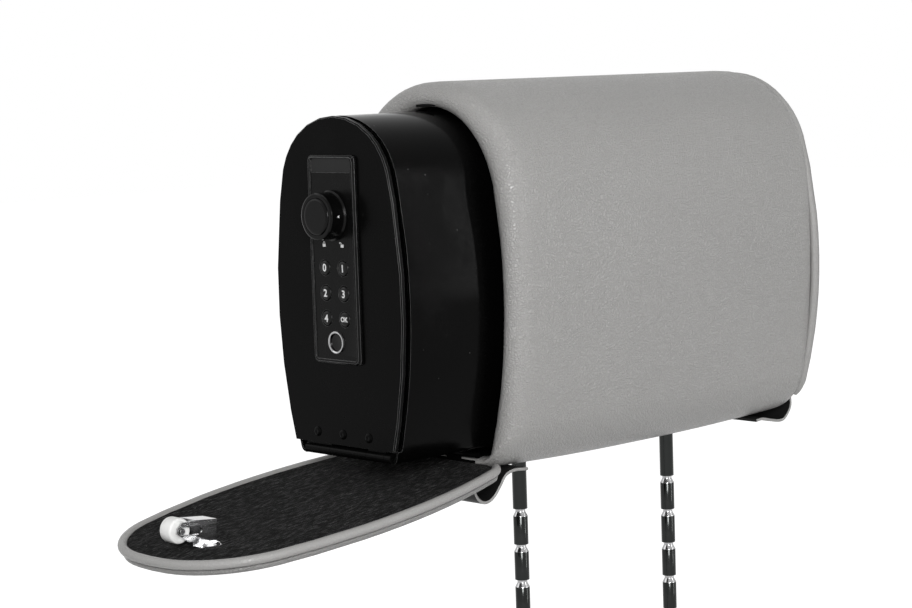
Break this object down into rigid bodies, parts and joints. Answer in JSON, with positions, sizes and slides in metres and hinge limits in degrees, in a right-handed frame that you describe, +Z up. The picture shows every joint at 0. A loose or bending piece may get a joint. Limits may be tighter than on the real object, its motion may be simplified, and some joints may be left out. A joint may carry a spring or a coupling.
{
  "type": "portable car safe",
  "caption": "Car safe built into a grey leather headrest on two posts: a steel safe with a keypad and knob slides out of one end, past a padded flap.",
  "frame": {"origin": "midway between the two posts, at the mean height of the headrest's underside", "axes": "+X along the headrest towards its far, shut end, so the safe slides out towards -X; +Y from the front side to the back side; +Z up, posts point to -Z"},
  "size_m": [0.547, 0.1642, 0.4253],
  "materials": {
    "leather": "pebbled grain, low sheen",
    "foam": "open-cell foam",
    "black_steel": "satin black powder coat",
    "black_plastic": "satin moulded",
    "bright_steel": "polished",
    "white_nylon": "moulded",
    "lining": "woven black",
    "sensor": "polished lens",
    "circuit_board": "solder mask"
  },
  "bodies": {
    "headrest": {"leather_cover": "leather", "foam_pad": "foam", "sleeve_housing": "black_plastic", "base_plate": "black_steel", "slot_plate_left": "black_steel", "slot_plate_right": "black_steel", "glide_tray": "white_nylon", "strike_left": "black_steel", "strike_right": "black_steel", "hinge_base_left": "black_steel", "hinge_base_right": "black_steel", "leather_loop_left": "leather", "leather_loop_right": "leather"},
    "safe": {"safe_shell": "black_steel", "safe_front_frame": "black_steel", "safe_back_plate": "black_steel", "safe_liner": "lining", "lock_strike": "black_steel", "hinge_pin": "bright_steel", "box_hinge_leaf": "black_steel"},
    "door": {"door_plate": "black_steel", "door_inner_panel": "black_plastic", "door_hinge_leaf": "black_steel", "door_rivet_1": "black_steel", "door_rivet_2": "black_steel", "door_rivet_3": "black_steel", "lock_bezel": "black_plastic", "bezel_panel": "black_plastic", "keypad_board": "circuit_board", "fingerprint_ring": "bright_steel", "fingerprint_sensor": "sensor", "lock_housing": "black_plastic", "battery_pack": "black_plastic"},
    "knob": {"knob_grip": "black_plastic", "knob_cap": "black_plastic", "lock_cam": "bright_steel"},
    "key_0_body": {"key_0": "black_plastic"},
    "key_1_body": {"key_1": "black_plastic"},
    "key_2_body": {"key_2": "black_plastic"},
    "key_3_body": {"key_3": "black_plastic"},
    "key_4_body": {"key_4": "black_plastic"},
    "key_ok_body": {"key_ok": "black_plastic"},
    "flap_left": {"flap_leather_left": "leather", "flap_board_left": "black_plastic", "flap_lining_left": "lining", "flap_piping_left": "leather", "flap_hinge_leaf_left": "black_steel", "roller_bracket": "bright_steel", "bracket_screw": "bright_steel"},
    "roller_carriage": {"roller_axle": "bright_steel"},
    "roller_wheel": {"roller": "white_nylon"},
    "flap_right": {"flap_leather_right": "leather", "flap_board_right": "lining", "flap_piping_right": "leather", "flap_hinge_leaf_right": "black_steel", "catch_block_right": "black_plastic"},
    "post_l": {"post_left": "bright_steel", "post_nut_left": "bright_steel"},
    "post_r": {"post_right": "bright_steel", "post_nut_right": "bright_steel"}
  },
  "joints": [
    {"name": "safe_slide", "type": "slide", "parent": "headrest", "child": "safe", "axis": [1, 0, 0], "range_m": [0, 0.16]},
    {"name": "flap_hinge", "type": "hinge", "parent": "headrest", "child": "flap_left", "pos_m": [-0.151, 0, 0.0106], "axis": [0, 1, 0], "range_deg": [0, 96.8], "deforming": ["leather_loop_left"]},
    {"name": "door_hinge", "type": "hinge", "parent": "safe", "child": "door", "pos_m": [-0.2274, 0, 0.0198], "axis": [0, 1, 0], "range_deg": [-85, 0]},
    {"name": "knob_turn", "type": "hinge", "parent": "door", "child": "knob", "pos_m": [-0.241, 0, 0.1698], "axis": [1, 0, 0], "range_deg": [0, 90]},
    {"name": "key_0_press", "type": "slide", "parent": "door", "child": "key_0_body", "axis": [1, 0, 0], "range_m": [0, 0.0008], "stiffness_N_per_m": 200},
    {"name": "key_1_press", "type": "slide", "parent": "door", "child": "key_1_body", "axis": [1, 0, 0], "range_m": [0, 0.0008], "stiffness_N_per_m": 200},
    {"name": "key_2_press", "type": "slide", "parent": "door", "child": "key_2_body", "axis": [1, 0, 0], "range_m": [0, 0.0008], "stiffness_N_per_m": 200},
    {"name": "key_3_press", "type": "slide", "parent": "door", "child": "key_3_body", "axis": [1, 0, 0], "range_m": [0, 0.0008], "stiffness_N_per_m": 200},
    {"name": "key_4_press", "type": "slide", "parent": "door", "child": "key_4_body", "axis": [1, 0, 0], "range_m": [0, 0.0008], "stiffness_N_per_m": 200},
    {"name": "key_ok_press", "type": "slide", "parent": "door", "child": "key_ok_body", "axis": [1, 0, 0], "range_m": [0, 0.0008], "stiffness_N_per_m": 200},
    {"name": "roller_press", "type": "slide", "parent": "flap_left", "child": "roller_carriage", "axis": [0.9945, 0, -0.1045], "range_m": [0, 0.003], "stiffness_N_per_m": 600},
    {"name": "roller_spin", "type": "hinge", "parent": "roller_carriage", "child": "roller_wheel", "pos_m": [-0.36521, 0, -0.00678], "axis": [0, 1, 0], "continuous": true},
    {"name": "far_flap_hinge", "type": "hinge", "parent": "headrest", "child": "flap_right", "pos_m": [0.146, 0, 0.0106], "axis": [0, 1, 0], "range_deg": [0, 90], "deforming": ["leather_loop_right"]},
    {"name": "post_slide_left", "type": "slide", "parent": "headrest", "child": "post_l", "axis": [1, 0, 0], "range_m": [0, 0.027]},
    {"name": "post_slide_right", "type": "slide", "parent": "headrest", "child": "post_r", "axis": [1, 0, 0], "range_m": [0, 0.027]}
  ],
  "couplings": [
    {"joint": "flap_hinge", "follows": "safe_slide", "rad_per_m": 10.558}
  ]
}
